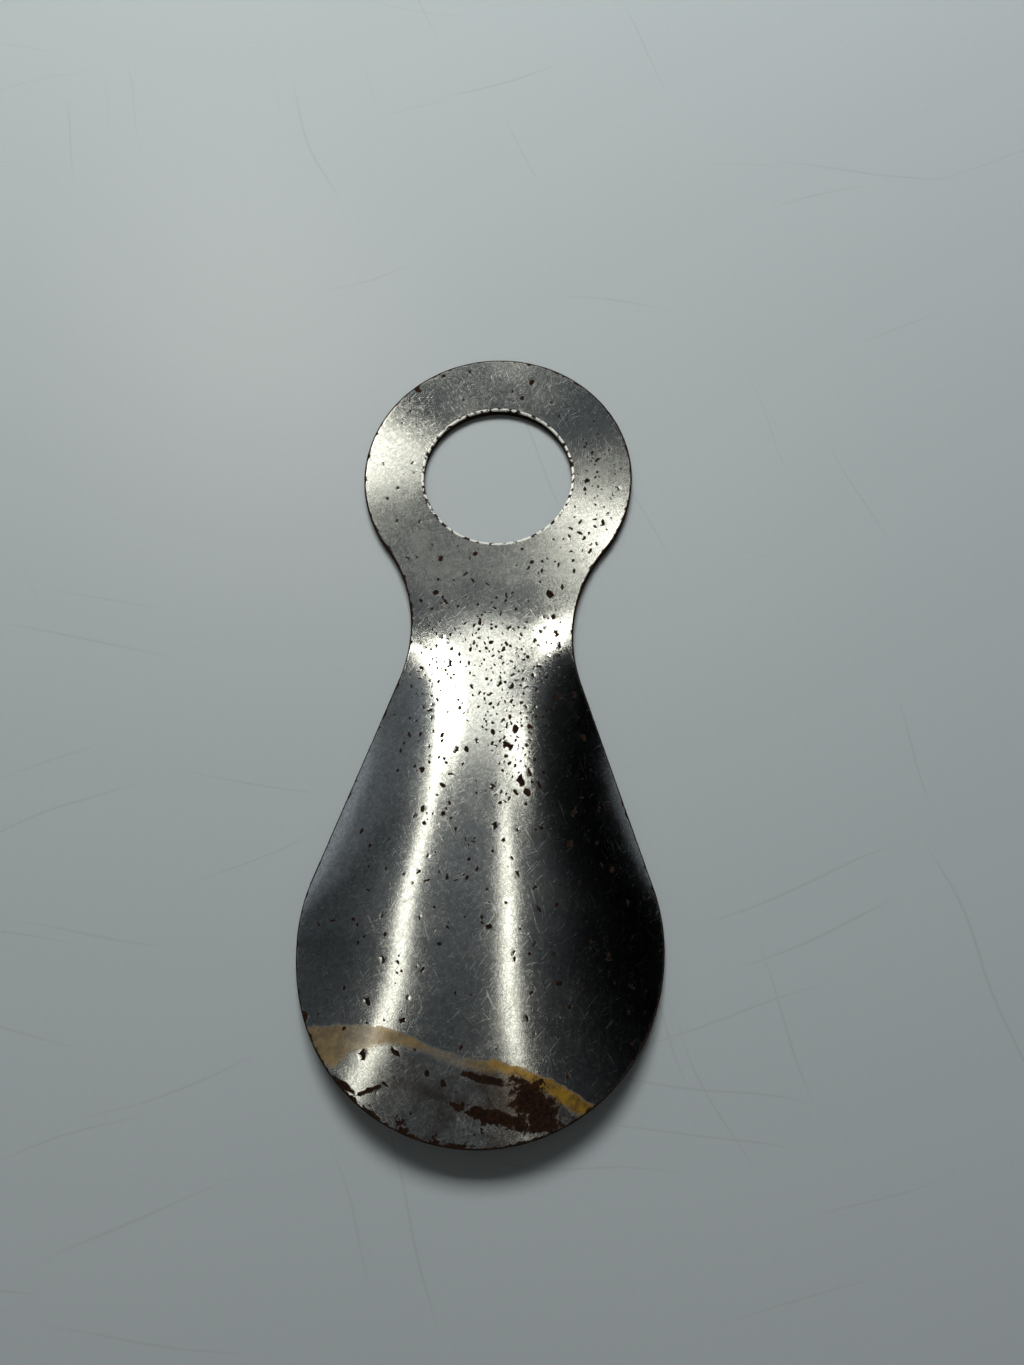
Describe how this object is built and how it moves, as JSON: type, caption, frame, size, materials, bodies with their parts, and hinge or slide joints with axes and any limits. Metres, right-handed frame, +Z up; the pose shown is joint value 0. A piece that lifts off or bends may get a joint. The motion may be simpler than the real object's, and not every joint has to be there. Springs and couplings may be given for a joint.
{
  "type": "shoehorn",
  "caption": "Small shoehorn pressed from one steel sheet: an arched, rounded blade on a narrow neck with a flat finger ring.",
  "frame": {"origin": "on the table under the middle of the outline's box, hollow side down", "axes": "+X across the blade, +Y from the blade's tip towards the ring, +Z up out of the blade's crown"},
  "size_m": [0.0434, 0.1014, 0.0074],
  "materials": {
    "sheet_steel": "worn, scratched, with rust pits and a brown stain"
  },
  "bodies": {
    "root": {"shoehorn": "sheet_steel"}
  },
  "joints": []
}
